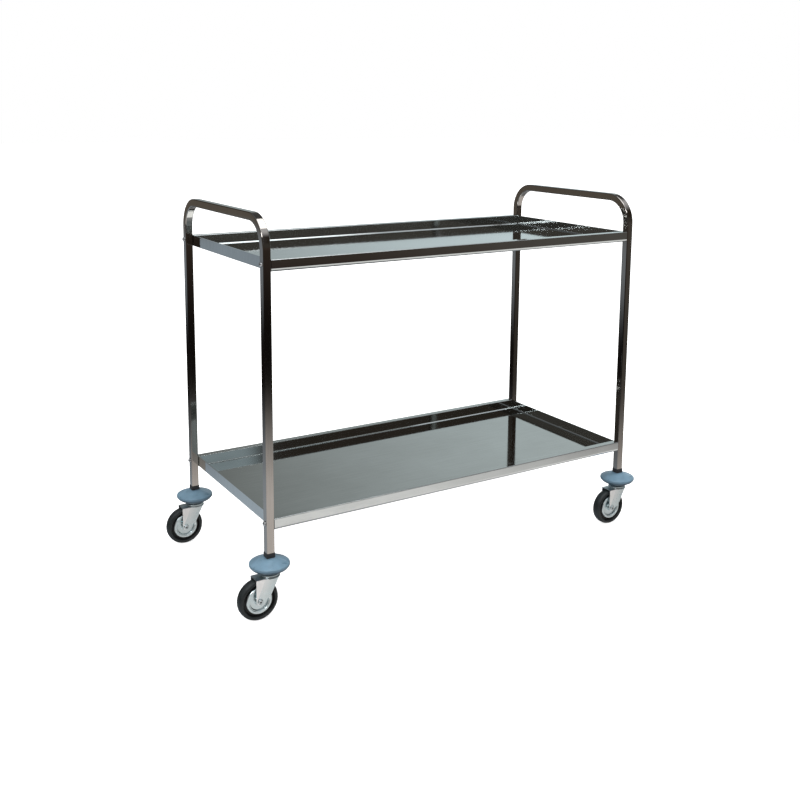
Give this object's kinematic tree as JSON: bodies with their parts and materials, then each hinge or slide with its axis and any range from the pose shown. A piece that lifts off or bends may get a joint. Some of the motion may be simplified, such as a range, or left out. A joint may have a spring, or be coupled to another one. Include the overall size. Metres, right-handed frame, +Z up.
{
  "type": "instrument cart",
  "caption": "Stainless steel instrument cart: bent square-tube end frames with push handles carry sheet trays and roll on swivel casters with rubber bumpers.",
  "frame": {"origin": "on the floor, under the middle of the cart's outer box", "axes": "+X along the cart's length, away from the side the casters trail to; +Y from front to back; +Z up"},
  "size_m": [1.2404, 0.597, 0.96],
  "materials": {
    "frame_steel": "bright polished stainless tube",
    "tray_steel": "smooth bright stainless sheet",
    "bolt_steel": "stainless fasteners",
    "collar_plastic": "black plastic sleeve",
    "bumper_rubber": "grey-blue rubber, slightly glossy",
    "zinc": "bright zinc-plated pressings",
    "race_steel": "dark greased ball race",
    "tyre_rubber": "dark grey rubber tyre"
  },
  "bodies": {
    "cart": {"left_frame": "frame_steel", "right_frame": "frame_steel", "upper_tray": "tray_steel", "lower_tray": "tray_steel", "upper_tray_bolt_left_front": "bolt_steel", "upper_tray_bolt_left_rear": "bolt_steel", "upper_tray_bolt_right_front": "bolt_steel", "upper_tray_bolt_right_rear": "bolt_steel", "upper_tray_nut_left_front": "bolt_steel", "upper_tray_nut_left_rear": "bolt_steel", "upper_tray_nut_right_front": "bolt_steel", "upper_tray_nut_right_rear": "bolt_steel", "lower_tray_bolt_left_front": "bolt_steel", "lower_tray_bolt_left_rear": "bolt_steel", "lower_tray_bolt_right_front": "bolt_steel", "lower_tray_bolt_right_rear": "bolt_steel", "lower_tray_nut_left_front": "bolt_steel", "lower_tray_nut_left_rear": "bolt_steel", "lower_tray_nut_right_front": "bolt_steel", "lower_tray_nut_right_rear": "bolt_steel", "front_left_leg_collar": "collar_plastic", "front_left_bumper": "bumper_rubber", "front_left_caster_stem": "zinc", "front_left_swivel_cup": "zinc", "rear_left_leg_collar": "collar_plastic", "rear_left_bumper": "bumper_rubber", "rear_left_caster_stem": "zinc", "rear_left_swivel_cup": "zinc", "front_right_leg_collar": "collar_plastic", "front_right_bumper": "bumper_rubber", "front_right_caster_stem": "zinc", "front_right_swivel_cup": "zinc", "rear_right_leg_collar": "collar_plastic", "rear_right_bumper": "bumper_rubber", "rear_right_caster_stem": "zinc", "rear_right_swivel_cup": "zinc"},
    "front_left_caster": {"front_left_ball_race": "race_steel", "front_left_fork": "zinc", "front_left_axle_bolt": "bolt_steel", "front_left_axle_nut": "bolt_steel"},
    "front_left_wheel": {"front_left_wheel_rim": "zinc", "front_left_tyre": "tyre_rubber"},
    "rear_left_caster": {"rear_left_ball_race": "race_steel", "rear_left_fork": "zinc", "rear_left_axle_bolt": "bolt_steel", "rear_left_axle_nut": "bolt_steel"},
    "rear_left_wheel": {"rear_left_wheel_rim": "zinc", "rear_left_tyre": "tyre_rubber"},
    "front_right_caster": {"front_right_ball_race": "race_steel", "front_right_fork": "zinc", "front_right_axle_bolt": "bolt_steel", "front_right_axle_nut": "bolt_steel"},
    "front_right_wheel": {"front_right_wheel_rim": "zinc", "front_right_tyre": "tyre_rubber"},
    "rear_right_caster": {"rear_right_ball_race": "race_steel", "rear_right_fork": "zinc", "rear_right_axle_bolt": "bolt_steel", "rear_right_axle_nut": "bolt_steel"},
    "rear_right_wheel": {"rear_right_wheel_rim": "zinc", "rear_right_tyre": "tyre_rubber"}
  },
  "joints": [
    {"name": "front_left_swivel", "type": "hinge", "parent": "cart", "child": "front_left_caster", "pos_m": [-0.53825, -0.25, 0.104], "axis": [0, 0, 1], "continuous": true},
    {"name": "front_left_wheel_spin", "type": "hinge", "parent": "front_left_caster", "child": "front_left_wheel", "pos_m": [-0.57025, -0.25, 0.05], "axis": [0, 1, 0], "continuous": true},
    {"name": "rear_left_swivel", "type": "hinge", "parent": "cart", "child": "rear_left_caster", "pos_m": [-0.53825, 0.25, 0.104], "axis": [0, 0, 1], "continuous": true},
    {"name": "rear_left_wheel_spin", "type": "hinge", "parent": "rear_left_caster", "child": "rear_left_wheel", "pos_m": [-0.57025, 0.25, 0.05], "axis": [0, 1, 0], "continuous": true},
    {"name": "front_right_swivel", "type": "hinge", "parent": "cart", "child": "front_right_caster", "pos_m": [0.57175, -0.25, 0.104], "axis": [0, 0, 1], "continuous": true},
    {"name": "front_right_wheel_spin", "type": "hinge", "parent": "front_right_caster", "child": "front_right_wheel", "pos_m": [0.53975, -0.25, 0.05], "axis": [0, 1, 0], "continuous": true},
    {"name": "rear_right_swivel", "type": "hinge", "parent": "cart", "child": "rear_right_caster", "pos_m": [0.57175, 0.25, 0.104], "axis": [0, 0, 1], "continuous": true},
    {"name": "rear_right_wheel_spin", "type": "hinge", "parent": "rear_right_caster", "child": "rear_right_wheel", "pos_m": [0.53975, 0.25, 0.05], "axis": [0, 1, 0], "continuous": true}
  ]
}
